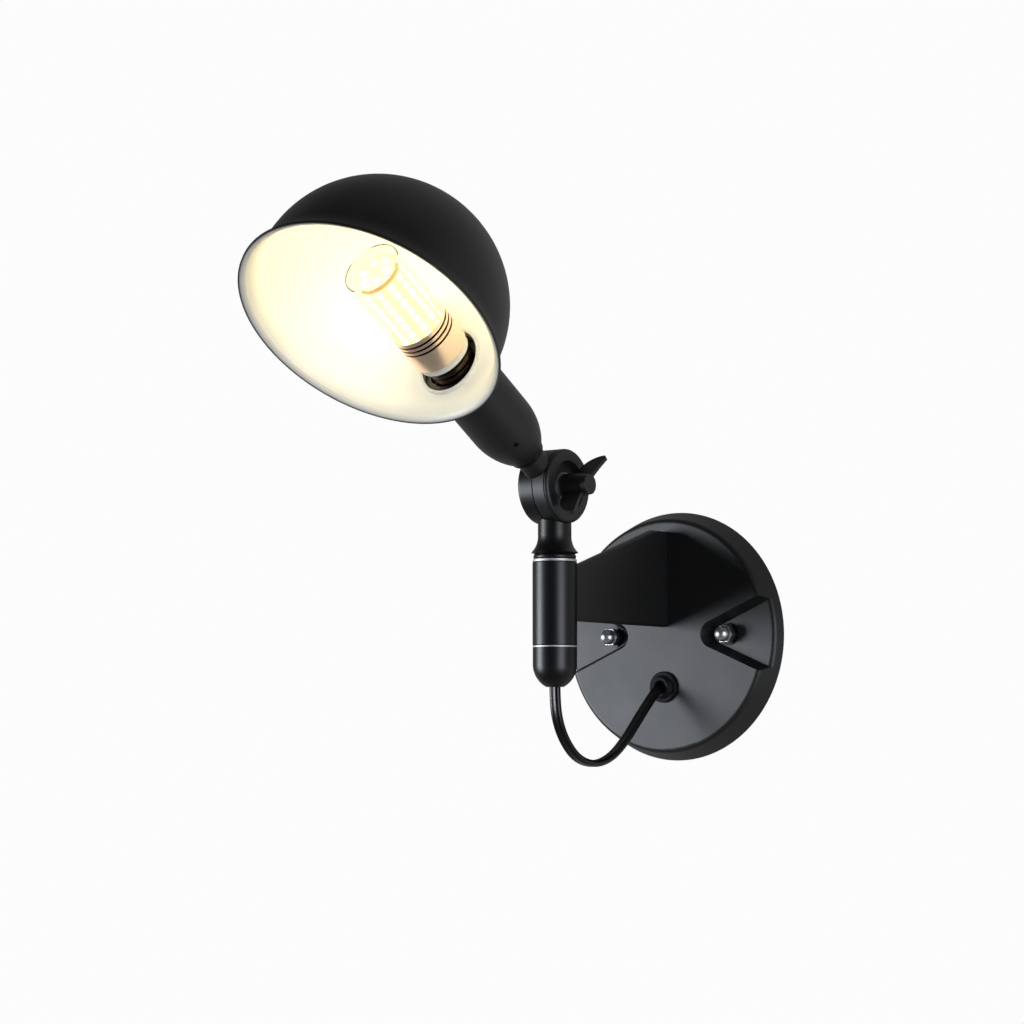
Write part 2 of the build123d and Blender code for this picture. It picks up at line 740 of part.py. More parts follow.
# Grub screw in the cup's rounded end
cup_curve_r = (cup_curve**2 + (cup_r - cup_end_r) ** 2) / (2 * (cup_r - cup_end_r))
screw_cup_r = cup_r - cup_curve_r + math.sqrt(cup_curve_r**2 - (cup_curve - set_screw_along) ** 2)
screw_turn = math.radians(set_screw_turn)
screw_dir = Vector(1, 0, 0) * math.cos(screw_turn) - neck_up * math.sin(screw_turn)
screw_plane = Plane(
    origin=knuckle + neck_dir * (cup_start + set_screw_along) + screw_dir * screw_cup_r,
    x_dir=neck_dir,
    z_dir=screw_dir,
)
with BuildPart() as cup_set_screw:
    with BuildSketch(screw_plane):
        Circle(set_screw_r)
        RegularPolygon(set_screw_r / 2, 6, mode=Mode.SUBTRACT)
    extrude(amount=-set_screw_length / 2)
    with BuildSketch(screw_plane.offset(-set_screw_length / 2)):
        Circle(set_screw_r)
    extrude(amount=-set_screw_length / 2)
cup_set_screw.part.label = "cup_set_screw"
export_step(cup_set_screw.part, "parts/cup_set_screw.step")

# Cup: an egg-shaped shell from the ring to the dome
with BuildPart() as socket_cup:
    with BuildSketch(neck_turning):
        with BuildLine():
            cup_inner_r = cup_r - cup_wall
            Line((nipple_r + fixed_gap, cup_start), (cup_end_r, cup_start))
            TangentArc((cup_r, cup_full), (cup_end_r, cup_start), tangent=(0, -1))
            Polyline((cup_r, cup_full), (cup_r, cup_reach), (cup_inner_r, cup_reach), (cup_inner_r, cup_full))
            TangentArc((cup_inner_r, cup_full), (cup_inner_end_r, cup_start + cup_floor), tangent=(0, -1))
            Polyline(
                (cup_inner_end_r, cup_start + cup_floor),
                (nipple_r + fixed_gap, cup_start + cup_floor),
                (nipple_r + fixed_gap, cup_start),
            )
        make_face()
    revolve(axis=neck_axis)
    with Locations(shade_centre):
        Sphere(shade_r + fixed_gap, mode=Mode.SUBTRACT)
    with BuildSketch(screw_plane):
        Circle(set_screw_r + fixed_gap)
    extrude(amount=set_screw_length, both=True, mode=Mode.SUBTRACT)
socket_cup.part.label = "socket_cup"
export_step(socket_cup.part, "parts/socket_cup.step")

# Lampholder: a black moulded body with a boss on the nipple and a bore for the screw shell
holder_shoulder = holder_start + holder_boss_length
with BuildPart() as lampholder:
    with BuildSketch(neck_turning):
        with BuildLine():
            Polyline(
                (nipple_r + fixed_gap, holder_start),
                (holder_boss_r, holder_start),
                (holder_boss_r, holder_shoulder),
                (holder_r, holder_shoulder + holder_taper),
                (holder_r, holder_end),
                (shell_r + fixed_gap, holder_end),
                (shell_r + fixed_gap, holder_floor),
                (nipple_bore_r, holder_floor),
                (nipple_bore_r, nipple_end + fixed_gap),
                (nipple_r + fixed_gap, nipple_end + fixed_gap),
                close=True,
            )
        make_face()
    revolve(axis=neck_axis)
lampholder.part.label = "lampholder"
export_step(lampholder.part, "parts/lampholder.step")

# Screw shell: the threaded brass sleeve in the lampholder
shell_end = holder_floor + shell_length
shell_outside = zigzag(holder_floor, shell_end, shell_r, shell_r - thread_depth)
shell_inside = [(r - shell_wall, along) for r, along in reversed(shell_outside)]
with BuildPart() as screw_shell:
    with BuildSketch(neck_turning):
        with BuildLine():
            Polyline(*shell_outside, *shell_inside, close=True)
        make_face()
    revolve(axis=neck_axis)
screw_shell.part.label = "screw_shell"
export_step(screw_shell.part, "parts/screw_shell.step")

# Centre contact: a bent brass tongue on the lampholder's floor, under the bulb's button
contact_top = bulb_tip - free_gap
contact_heel = -(shell_r - shell_wall - thread_depth) * 0.6
contact_knee = contact_heel / 3
contact_toe = cap_button_r / 2
with BuildPart() as centre_contact:
    with BuildSketch(neck_side):
        with BuildLine():
            Polyline(
                (holder_floor, contact_heel),
                (holder_floor + contact_thick, contact_heel),
                (holder_floor + contact_thick, contact_knee),
                (contact_top, -contact_toe + contact_thick),
                (contact_top, contact_toe),
                (contact_top - contact_thick, contact_toe),
                (contact_top - contact_thick, -contact_toe + 2 * contact_thick),
                (holder_floor, contact_knee + contact_thick),
                close=True,
            )
        make_face()
    extrude(amount=contact_width / 2, both=True)
centre_contact.part.label = "centre_contact"
export_step(centre_contact.part, "parts/centre_contact.step")

# Shade: a spun dome with a flared rim, rolled out to a lip, and a round hole in its side for the lampholder
flare_r = math.sqrt(shade_r**2 - flare_start**2)
inner_r = shade_r - shade_wall
arc_share = math.radians(45.0)
lip_edge_depth = rim_depth - shade_wall
with BuildPart() as shade:
    with BuildSketch(shade_turning):
        with BuildLine():
            dome = ThreePointArc(
                (0, -shade_r),
                (shade_r * math.sin(arc_share), -shade_r * math.cos(arc_share)),
                (flare_r, flare_start),
            )
            flare = TangentArc(dome @ 1, (rim_r - lip_reach, lip_edge_depth - lip_height), tangent=dome % 1)
            TangentArc(flare @ 1, (rim_r, lip_edge_depth), tangent=flare % 1)
            offset(amount=shade_wall, side=Side.LEFT, closed=True)
        make_face()
    revolve(axis=shade_axis)
    with BuildSketch(neck.offset(cup_full)):
        Circle(shade_hole_r)
    extrude(amount=shade_along - cup_full, mode=Mode.SUBTRACT)
shade.part.label = "shade"
export_step(shade.part, "parts/shade.step")

# White collar that stands round the hole on the dome's inside
with BuildPart() as shade_ring:
    with BuildSketch(neck.offset(cup_full)):
        Circle(shade_hole_r + shade_ring_wall)
        Circle(shade_hole_r, mode=Mode.SUBTRACT)
    extrude(amount=shade_along - cup_full)
    with Locations(shade_centre):
        Sphere(inner_r - fixed_gap, mode=Mode.INTERSECT)
        Sphere(inner_r - shade_ring_height, mode=Mode.SUBTRACT)
shade_ring.part.label = "shade_ring"
export_step(shade_ring.part, "parts/shade_ring.step")

# Bulb's screw cap: a button, a cone and a threaded shell
cap_shell_low = bulb_tip + cap_button_height + cap_cone_height
with BuildPart() as bulb_cap:
    with BuildSketch(neck_turning):
        with BuildLine():
            Polyline(
                (0, bulb_cap_end),
                (0, bulb_tip),
                (cap_button_r, bulb_tip),
                (cap_button_r, bulb_tip + cap_button_height),
                (cap_cone_r, cap_shell_low),
                *zigzag(cap_shell_low, bulb_cap_end, bulb_cap_r - 2 * thread_depth, bulb_cap_r),
                close=True,
            )
        make_face()
    revolve(axis=neck_axis)
bulb_cap.part.label = "bulb_cap"
export_step(bulb_cap.part, "parts/bulb_cap.step")

# White ring between the cap and the heat sink
with BuildPart() as bulb_insulator:
    with BuildSketch(neck.offset(bulb_cap_end)):
        Circle(insulator_r)
    extrude(amount=insulator_height)
bulb_insulator.part.label = "bulb_insulator"
export_step(bulb_insulator.part, "parts/bulb_insulator.step")

# Gold heat sink with grooves below the cover
with BuildPart() as bulb_heat_sink:
    with BuildSketch(neck.offset(sink_start)):
        Circle(sink_r)
    extrude(amount=sink_height)
    for groove in range(sink_grooves):
        groove_top = sink_end - sink_groove_top - groove * sink_groove_pitch
        with BuildSketch(neck.offset(groove_top - sink_groove_width)):
            Circle(sink_r)
            Circle(sink_r - sink_groove_depth, mode=Mode.SUBTRACT)
        extrude(amount=sink_groove_width, mode=Mode.SUBTRACT)
bulb_heat_sink.part.label = "bulb_heat_sink"
export_step(bulb_heat_sink.part, "parts/bulb_heat_sink.step")

# Core: a yellow prism that carries the chips on its flats
with BuildPart() as bulb_led_core:
    with BuildSketch(neck.offset(sink_end)):
        RegularPolygon(core_flat, core_sides, major_radius=False, rotation=180 / core_sides)
    extrude(amount=core_height)
bulb_led_core.part.label = "bulb_led_core"
export_step(bulb_led_core.part, "parts/bulb_led_core.step")

# Disc on the core's end
with BuildPart() as bulb_top_disc:
    with BuildSketch(neck.offset(core_end)):
        Circle(top_disc_r)
    extrude(amount=top_disc_thick)
bulb_top_disc.part.label = "bulb_top_disc"
export_step(bulb_top_disc.part, "parts/bulb_top_disc.step")

# Chips in rows on the core's flats, and a ring of them on the disc
led_first = sink_end + (core_height - (led_rows - 1) * led_row_pitch) / 2
with BuildPart() as bulb_leds:
    for row in range(led_rows):
        with Locations(neck.offset(led_first + row * led_row_pitch)):
            with PolarLocations(core_flat + led_thick / 2, core_sides):
                Box(led_thick, led_wide, led_long)
    with Locations(neck.offset(top_led_seat + led_thick / 2)):
        with PolarLocations(top_led_ring_r, top_leds):
            Box(led_long, led_wide, led_thick)
bulb_leds.part.label = "bulb_leds"
export_step(bulb_leds.part, "parts/bulb_leds.step")

# Clear cover: a cup over the core, closed at its rounded end
with BuildPart() as bulb_cover:
    with BuildSketch(neck.offset(sink_end)):
        Circle(cover_r)
    extrude(amount=cover_end - sink_end)
    fillet(bulb_cover.edges().sort_by(neck_axis)[-1], cover_shoulder_r)
    offset(amount=-cover_wall, openings=bulb_cover.faces().sort_by(neck_axis)[0])
bulb_cover.part.label = "bulb_cover"
export_step(bulb_cover.part, "parts/bulb_cover.step")

# Gland: a threaded stem through the canopy, a flange and a short nose with a flared mouth
gland_axis = Axis((0, 0, gland_z), (0, -1, 0))
gland_turning = Plane(origin=(0, 0, gland_z), x_dir=(1, 0, 0), z_dir=(0, 0, 1))
gland_back = canopy_depth - gland_thread_length
gland_flange_end = canopy_depth + gland_flange_thick
gland_end = gland_flange_end + gland_nose_length
with BuildPart() as cord_gland:
    with BuildSketch(gland_turning) as gland_profile:
        with BuildLine():
            Polyline(
                (cord_wide / 2 + fixed_gap, -gland_back),
                (gland_thread_r, -gland_back),
                (gland_thread_r, -canopy_depth),
                (gland_flange_r, -canopy_depth),
                (gland_flange_r, -gland_flange_end),
                (gland_nose_r, -gland_flange_end),
                (gland_nose_tip_r, -gland_end),
                (gland_mouth_r, -gland_end),
                (cord_wide / 2 + fixed_gap, -canopy_depth),
                close=True,
            )
        make_face()
        fillet(gland_profile.vertices().sort_by(Axis.X)[-2:].sort_by(Axis.Y)[0], gland_flange_thick / 2)
    revolve(axis=gland_axis)
cord_gland.part.label = "cord_gland"
export_step(cord_gland.part, "parts/cord_gland.step")

with BuildPart() as gland_nut:
    with BuildSketch(wall.offset(canopy_inside)):
        with Locations((0, gland_z)):
            RegularPolygon(gland_nut_flats / 2, 6, major_radius=False)
            Circle(gland_thread_r + fixed_gap, mode=Mode.SUBTRACT)
    extrude(amount=-gland_nut_thick)
gland_nut.part.label = "gland_nut"
export_step(gland_nut.part, "parts/gland_nut.step")

# Cord: a flat oval cable that leaves the gland, hangs in a loop and rises into the end cap
cord_points = [
    (0, -9.5, -31.0),
    (0, -20.0, -31.0),
    (0, -29.2, -38.6),
    (0, -42.3, -50.0),
    (0, -56.0, -62.8),
    (0, -71.0, -72.8),
    (0, -88.0, -76.8),
    (0, -105.0, -73.4),
    (0, -117.3, -63.3),
    (0, -124.3, -51.5),
    (0, -126.5, -39.5),
    (0, -126.5, -29.5),
]
cord_runs = [Vector(*b) - Vector(*a) for a, b in zip(cord_points, cord_points[1:])]
cord_radii = []
for run, following in zip(cord_runs, cord_runs[1:]):
    turn = math.radians(run.get_angle(following))
    cord_radii.append(0.45 * min(run.length, following.length) / math.tan(turn / 2))
print("cord radii", [round(radius, 1) for radius in cord_radii])
with BuildPart() as cord:
    with BuildLine() as cord_route:
        FilletPolyline(*cord_points, radius=cord_radii)
    cord_path = cord_route.wires()[0]
    with BuildSketch(Plane(origin=cord_path @ 0, x_dir=(1, 0, 0), z_dir=cord_path % 0)):
        SlotOverall(cord_wide, cord_thick)
    sweep(path=cord_path)
cord_section = math.pi * cord_thick**2 / 4 + cord_thick * (cord_wide - cord_thick)
print("cord length", round(cord_path.length, 1))
print("cord volume over section times length", round(cord.part.volume / (cord_section * cord_path.length), 5))
cord.part.label = "cord"
export_step(cord.part, "parts/cord.step")

# Terminal block on the canopy's inside
block_width, block_height, block_depth = block_size
block_z = -0.68 * canopy_r
lead_depth = canopy_inside - lead_rise
block_places = [(-block_pole_spacing / 2, block_z), (block_pole_spacing / 2, block_z)]
lead_end_z = block_z + block_height / 2 - lead_in_block
block_top = Plane(origin=(0, -lead_depth, block_z + block_height / 2), x_dir=(1, 0, 0), z_dir=(0, 0, 1))
with BuildPart() as terminal_block:
    with BuildSketch(wall.offset(canopy_inside)):
        with Locations((0, block_z)):
            RectangleRounded(block_width, block_height, block_corner_r)
    extrude(amount=-block_depth)
    with BuildSketch(wall.offset(canopy_inside - block_depth)):
        with Locations(*block_places):
            Circle(block_screw_r)
    extrude(amount=block_screw_depth, mode=Mode.SUBTRACT)
    with BuildSketch(block_top):
        with Locations(*[(x, 0) for x, z in block_places]):
            Circle(lead_r + fixed_gap)
    extrude(amount=-lead_in_block - bolt_gap, mode=Mode.SUBTRACT)
terminal_block.part.label = "terminal_block"
export_step(terminal_block.part, "parts/terminal_block.step")

# Two insulated leads from the cord's end to the block
lead_start_y = cord_points[0][1] + bolt_gap
with BuildPart() as lead_wires:
    for hand in (-1, 1):
        pole_x = hand * block_pole_spacing / 2
        lead_low_z = block_z + block_height / 2 + lead_bend_r
        with BuildLine() as lead_route:
            FilletPolyline(
                (hand * lead_split, lead_start_y, gland_z),
                (hand * lead_split, -lead_depth, gland_z),
                (pole_x, -lead_depth, lead_low_z),
                (pole_x, -lead_depth, lead_end_z),
                radius=lead_bend_r,
            )
        lead_path = lead_route.wires()[0]
        with BuildSketch(Plane(origin=lead_path @ 0, z_dir=lead_path % 0)):
            Circle(lead_r)
        sweep(path=lead_path)
lead_wires.part.label = "lead_wires"
export_step(lead_wires.part, "parts/lead_wires.step")
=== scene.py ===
import json
import math

import bpy
import numpy as np
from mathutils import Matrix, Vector


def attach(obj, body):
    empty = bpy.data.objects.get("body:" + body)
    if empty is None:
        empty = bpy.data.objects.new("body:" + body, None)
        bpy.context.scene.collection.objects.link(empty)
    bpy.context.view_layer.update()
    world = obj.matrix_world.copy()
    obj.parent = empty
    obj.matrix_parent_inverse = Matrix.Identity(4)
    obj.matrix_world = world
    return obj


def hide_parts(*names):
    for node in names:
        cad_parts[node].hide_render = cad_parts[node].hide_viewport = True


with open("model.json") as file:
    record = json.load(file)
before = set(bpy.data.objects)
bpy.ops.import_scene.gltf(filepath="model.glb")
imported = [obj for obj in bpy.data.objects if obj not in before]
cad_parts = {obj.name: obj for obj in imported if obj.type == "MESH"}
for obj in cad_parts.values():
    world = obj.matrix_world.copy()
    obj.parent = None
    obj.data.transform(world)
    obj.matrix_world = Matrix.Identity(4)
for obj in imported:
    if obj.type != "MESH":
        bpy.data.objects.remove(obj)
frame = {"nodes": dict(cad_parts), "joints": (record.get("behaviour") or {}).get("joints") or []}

scene = bpy.context.scene
nodes = frame["nodes"]
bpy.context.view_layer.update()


# Wall strap with its studs, and the screws, nuts and nipple inside the lamp: mild steel, pressed or turned,
# and zinc plated. The strap is screwed to the wall and hidden by the canopy.
def linear(code):
    """Linear RGBA of an sRGB hex colour: each channel goes back through the sRGB curve."""
    channel = np.array([int(code[i:i + 2], 16) for i in (1, 3, 5)]) / 255.0
    channel = np.where(channel <= 0.04045, channel / 12.92, ((channel + 0.055) / 1.055) ** 2.4)
    return (*channel.tolist(), 1.0)


def add(tree, kind, values=(), links=(), **settings):
    """Adds one node: settings are its properties, values fill input sockets, links join sockets to inputs."""
    node = tree.nodes.new(kind)
    for name, value in settings.items():
        setattr(node, name, value)
    for socket, value in dict(values).items():
        node.inputs[socket].default_value = value
    for socket, source in dict(links).items():
        tree.links.new(source, node.inputs[socket])
    return node


def start_finish(name, values):
    """A new material with its shader, whose constant values are set on the shader's own sockets."""
    material = bpy.data.materials.new(name)
    material.use_nodes = True
    shader = material.node_tree.nodes["Principled BSDF"]
    for socket, value in values.items():
        shader.inputs[socket].default_value = value
    return material, material.node_tree, shader


def coat(material, *names):
    """Puts one material on CAD nodes."""
    for name in names:
        slots = nodes[name].data.materials
        slots.clear()
        slots.append(material)


# Zinc plate: bright grey metal with cloudy spangle a few millimetres across.
spangle_size, cloud_size = 4e-3, 9e-3
zinc, tree, shader = start_finish("zinc_plated_steel", {"Metallic": 1.0})
place = add(tree, "ShaderNodeTexCoord")
spangle = add(tree, "ShaderNodeTexVoronoi", {"Scale": 1 / spangle_size}, {"Vector": place.outputs["Object"]})
cloud = add(tree, "ShaderNodeTexNoise", {"Scale": 1 / cloud_size, "Detail": 4.0},
            {"Vector": place.outputs["Object"]})
tone = add(tree, "ShaderNodeMix", {"A": linear("#a9a9a4"), "B": linear("#cfd0cd")},
           {"Factor": cloud.outputs["Fac"]}, data_type="RGBA")
rough = add(tree, "ShaderNodeMapRange", {"From Max": 0.8, "To Min": 0.28, "To Max": 0.46},
            {"Value": spangle.outputs["Distance"]})
tree.links.new(tone.outputs["Result"], shader.inputs["Base Color"])
tree.links.new(rough.outputs["Result"], shader.inputs["Roughness"])
coat(zinc, "wall_bracket", "bracket_studs", "arm_screws", "spindle_nut", "nipple_nut", "cup_nipple",
     "gland_nut")


# Earth screw, bushes, screw shell and centre contact: plain turned or drawn brass, tarnished in clouds.
# They carry current or bear the swivel, and are pressed or screwed in.
def cloudy_finish(name, cloud, tones, rough, values, detail=3.0):
    """A finish that drifts from the first tone and roughness to the second, in noise clouds that are
    cloud metres across; values are the shader's constants."""
    material, tree, shader = start_finish(name, values)
    place = add(tree, "ShaderNodeTexCoord")
    drift = add(tree, "ShaderNodeTexNoise", {"Scale": 1 / cloud, "Detail": detail},
                {"Vector": place.outputs["Object"]})
    tone = add(tree, "ShaderNodeMix", {"A": linear(tones[0]), "B": linear(tones[1])},
               {"Factor": drift.outputs["Fac"]}, data_type="RGBA")
    dulling = add(tree, "ShaderNodeMapRange", {"To Min": rough[0], "To Max": rough[1]},
                  {"Value": drift.outputs["Fac"]})
    tree.links.new(tone.outputs["Result"], shader.inputs["Base Color"])
    tree.links.new(dulling.outputs["Result"], shader.inputs["Roughness"])
    return material


brass = cloudy_finish("plain_brass", cloud=5e-3, detail=4.0, tones=("#a97f3a", "#dcb768"),
                      rough=(0.38, 0.24), values={"Metallic": 1.0})
coat(brass, "earth_screw", "screw_shell", "centre_contact", "upper_bush", "lower_bush")

# Terminal block: a moulded strip of cream polyamide, slightly mottled and faintly see-through.
# It is fixed behind the canopy and joins the supply wires to the cord.
polyamide = cloudy_finish("cream_polyamide", cloud=3e-3, tones=("#d9d0b4", "#ece6d2"), rough=(0.42, 0.55),
                          values={"IOR": 1.53, "Subsurface Weight": 0.08})
coat(polyamide, "terminal_block")

# Lead wires: stranded copper in soft blue insulation, extruded, with faint streaks of tone.
# They run from the block to the gland.
insulation = cloudy_finish("blue_wire_insulation", cloud=4e-3, detail=2.0, tones=("#2b4595", "#3c5cb6"),
                           rough=(0.35, 0.5), values={"IOR": 1.53})
coat(insulation, "lead_wires")

# Canopy, arm, head's knuckle, cup, wing nut and bolt: steel pressings and cast or turned pieces,
# sprayed with one satin black powder coat and baked before they are screwed together.
# Powder coat: almost black, an even satin gloss, with a faint orange peel about a millimetre across.
peel_size, peel_depth, drift_size = 1.1e-3, 4e-4, 22e-3
black_coat, tree, shader = start_finish("satin_black_powder_coat",
                                        {"IOR": 1.65, "Base Color": linear("#070708")})
place = add(tree, "ShaderNodeTexCoord")
peel = add(tree, "ShaderNodeTexNoise", {"Scale": 1 / peel_size, "Detail": 2.0},
           {"Vector": place.outputs["Object"]})
drift = add(tree, "ShaderNodeTexNoise", {"Scale": 1 / drift_size, "Detail": 3.0},
            {"Vector": place.outputs["Object"]})
satin = add(tree, "ShaderNodeMapRange", {"To Min": 0.44, "To Max": 0.52}, {"Value": drift.outputs["Fac"]})
dimple = add(tree, "ShaderNodeBump", {"Strength": 0.05, "Distance": peel_depth},
             {"Height": peel.outputs["Fac"]})
tree.links.new(satin.outputs["Result"], shader.inputs["Roughness"])
tree.links.new(dimple.outputs["Normal"], shader.inputs["Normal"])
coat(black_coat, "canopy", "bracket_arm", "head_knuckle", "socket_cup", "wing_nut", "pivot_bolt")

# Domed nuts and the washer under the wing nut: turned brass, tumbled and chromed to a satin shine
# with a faint haze. The domed nuts draw the canopy onto the strap's studs.
haze_size = 2.5e-3
chrome, tree, shader = start_finish("satin_chrome", {"Metallic": 1.0, "Base Color": linear("#e4e5e8")})
place = add(tree, "ShaderNodeTexCoord")
haze = add(tree, "ShaderNodeTexNoise", {"Scale": 1 / haze_size, "Detail": 3.0},
           {"Vector": place.outputs["Object"]})
polish = add(tree, "ShaderNodeMapRange", {"To Min": 0.28, "To Max": 0.38}, {"Value": haze.outputs["Fac"]})
tree.links.new(polish.outputs["Result"], shader.inputs["Roughness"])
coat(chrome, "acorn_nuts", "clamp_washer")

# Washers under the domed nuts, ring under the cup and grub screw: turned or stamped steel,
# blackened and polished, so they are dark but show thin bright lines along their edges.
blackened = cloudy_finish("blackened_polished_steel", cloud=3e-3, tones=("#262627", "#3a3a3c"),
                          rough=(0.16, 0.3), values={"Metallic": 1.0})
coat(blackened, "cup_end_ring", "cup_set_screw", "stud_washers")

# Cord gland and knuckle washer: moulded black rubber, matt with the mould's fine grain.
# The gland is screwed into the canopy, and the washer grips between the knuckle's halves.
grain_size, grain_depth = 0.8e-3, 2e-4
rubber, tree, shader = start_finish("matt_black_rubber", {"IOR": 1.4, "Base Color": linear("#050505")})
place = add(tree, "ShaderNodeTexCoord")
grain = add(tree, "ShaderNodeTexNoise", {"Scale": 1 / grain_size, "Detail": 3.0},
            {"Vector": place.outputs["Object"]})
dull = add(tree, "ShaderNodeMapRange", {"To Min": 0.62, "To Max": 0.8}, {"Value": grain.outputs["Fac"]})
pitting = add(tree, "ShaderNodeBump", {"Strength": 0.08, "Distance": grain_depth},
              {"Height": grain.outputs["Fac"]})
tree.links.new(dull.outputs["Result"], shader.inputs["Roughness"])
tree.links.new(pitting.outputs["Normal"], shader.inputs["Normal"])
coat(rubber, "cord_gland", "knuckle_washer")

# Pivot barrel, swivel post and end cap: steel turned on a lathe, with the same black coat.
# It lies flatter on the smooth turnings than on pressings, so it shows tighter highlights.
drift_size = 14e-3
turned_coat, tree, shader = start_finish("satin_black_coat_on_turnings",
                                         {"IOR": 1.52, "Base Color": linear("#070708")})
place = add(tree, "ShaderNodeTexCoord")
drift = add(tree, "ShaderNodeTexNoise", {"Scale": 1 / drift_size, "Detail": 3.0},
            {"Vector": place.outputs["Object"]})
satin = add(tree, "ShaderNodeMapRange", {"To Min": 0.35, "To Max": 0.41}, {"Value": drift.outputs["Fac"]})
tree.links.new(satin.outputs["Result"], shader.inputs["Roughness"])
coat(turned_coat, "pivot_barrel", "swivel_post", "end_cap")

# Thrust washers: spring steel, ground flat and left bright, which rubs to an even satin grey.
# They lie loose at both ends of the barrel and show as thin bright rings.
ground_steel = cloudy_finish("ground_spring_steel", cloud=2e-3, tones=("#c4c6c8", "#e4e5e6"),
                             rough=(0.5, 0.65), values={"Metallic": 1.0})
coat(ground_steel, "upper_washer", "lower_washer")


# Cord: twin flat cable with a black PVC jacket, two round cores side by side.
# It leaves the gland in the canopy, hangs in a loop and goes up into the end cap,
# a fixed length pushed into both and held by friction.
def sweep(name, path, side, outline):
    """A closed outline carried along a path. At each path point the outline's first coordinate runs along
    side and its second along the cross product of the tangent and side; both ends are closed."""
    tangent = np.gradient(path, axis=0)
    tangent /= np.linalg.norm(tangent, axis=1)[:, None]
    side = side - (side * tangent).sum(axis=1)[:, None] * tangent
    side /= np.linalg.norm(side, axis=1)[:, None]
    lift = np.cross(tangent, side)
    grid = (path[:, None, :] + outline[None, :, 0, None] * side[:, None, :]
            + outline[None, :, 1, None] * lift[:, None, :])
    rows, columns = grid.shape[:2]
    index = np.arange(rows * columns).reshape(rows, columns)
    turned = np.roll(index, -1, axis=1)
    walls = np.stack([index[:-1], turned[:-1], turned[1:], index[1:]], axis=-1).reshape(-1, 4)
    mesh = bpy.data.meshes.new(name)
    mesh.from_pydata(grid.reshape(-1, 3).tolist(), [],
                     walls.tolist() + [index[0, ::-1].tolist(), index[-1].tolist()])
    mesh.shade_smooth()
    piece = bpy.data.objects.new(name, mesh)
    scene.collection.objects.link(piece)
    return piece


# The cord's line is a smooth spline with the route's points as its control points.
cord_route = np.array([
    (0, -9.5, -31), (0, -20, -31), (0, -29.2, -38.6), (0, -42.3, -50), (0, -56, -62.8), (0, -71, -72.8),
    (0, -88, -76.8), (0, -105, -73.4), (0, -117.3, -63.3), (0, -124.3, -51.5), (0, -126.5, -39.5),
    (0, -126.5, -29.5),
]) / 1000
route_curve = bpy.data.curves.new("cord_route", "CURVE")
route_curve.dimensions = "3D"
route_curve.resolution_u = 10
spline = route_curve.splines.new("NURBS")
spline.points.add(len(cord_route) - 1)
spline.points.foreach_set("co", np.c_[cord_route, np.ones(len(cord_route))].ravel())
spline.order_u = 3
spline.use_endpoint_u = True
route_object = bpy.data.objects.new("cord_route", route_curve)
scene.collection.objects.link(route_object)
bpy.context.view_layer.update()
route_line = bpy.data.meshes.new_from_object(
    route_object.evaluated_get(bpy.context.evaluated_depsgraph_get()))
cord_path = np.empty(len(route_line.vertices) * 3)
route_line.vertices.foreach_get("co", cord_path)
cord_path = cord_path.reshape(-1, 3)
bpy.data.objects.remove(route_object)
bpy.data.meshes.remove(route_line)

# The jacket's outline is two round lobes, pushed apart by a steep tanh, with a shallow groove between them
# that takes a bell-shaped share off the thickness.
cord_wide, cord_thick = 6.8e-3, 4.2e-3
outline_points = 48
lobe_steepness = 3.2
groove_share, groove_wide = 0.16, 0.9e-3
turn = np.linspace(0, 2 * np.pi, outline_points, endpoint=False)
across = ((cord_wide - cord_thick) / 2 * np.tanh(lobe_steepness * np.cos(turn))
          + cord_thick / 2 * np.cos(turn))
groove = 1 - groove_share * np.exp(-(across / groove_wide) ** 2)
cord_outline = np.c_[across, cord_thick / 2 * np.sin(turn) * groove]
cord = sweep("flat_cord", cord_path, np.tile([1.0, 0.0, 0.0], (len(cord_path), 1)), cord_outline)

# PVC jacket: extruded, so it has a gloss that dulls in faint patches along its length.
patch_size = 6e-3
jacket, tree, shader = start_finish("black_pvc_jacket", {"IOR": 1.46, "Base Color": linear("#050505")})
place = add(tree, "ShaderNodeTexCoord")
patches = add(tree, "ShaderNodeTexNoise", {"Scale": 1 / patch_size, "Detail": 3.0},
              {"Vector": place.outputs["Object"]})
dulling = add(tree, "ShaderNodeMapRange", {"To Min": 0.26, "To Max": 0.36},
              {"Value": patches.outputs["Fac"]})
tree.links.new(dulling.outputs["Result"], shader.inputs["Roughness"])
cord.data.materials.append(jacket)
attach(cord, "base")
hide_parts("cord")

# Lampholder: moulded black phenolic, screwed onto the nipple in the cup.
# Its gloss varies where the resin flowed in the mould.
flow_size, flow_depth = 1.5e-3, 2e-4
moulded, tree, shader = start_finish("moulded_black_phenolic",
                                     {"IOR": 1.55, "Base Color": linear("#0b0a09")})
place = add(tree, "ShaderNodeTexCoord")
flow = add(tree, "ShaderNodeTexNoise", {"Scale": 1 / flow_size, "Detail": 2.0},
           {"Vector": place.outputs["Object"]})
sheen = add(tree, "ShaderNodeMapRange", {"To Min": 0.26, "To Max": 0.4}, {"Value": flow.outputs["Fac"]})
ripple = add(tree, "ShaderNodeBump", {"Strength": 0.05, "Distance": flow_depth},
             {"Height": flow.outputs["Fac"]})
tree.links.new(sheen.outputs["Result"], shader.inputs["Roughness"])
tree.links.new(ripple.outputs["Normal"], shader.inputs["Normal"])
coat(moulded, "lampholder")

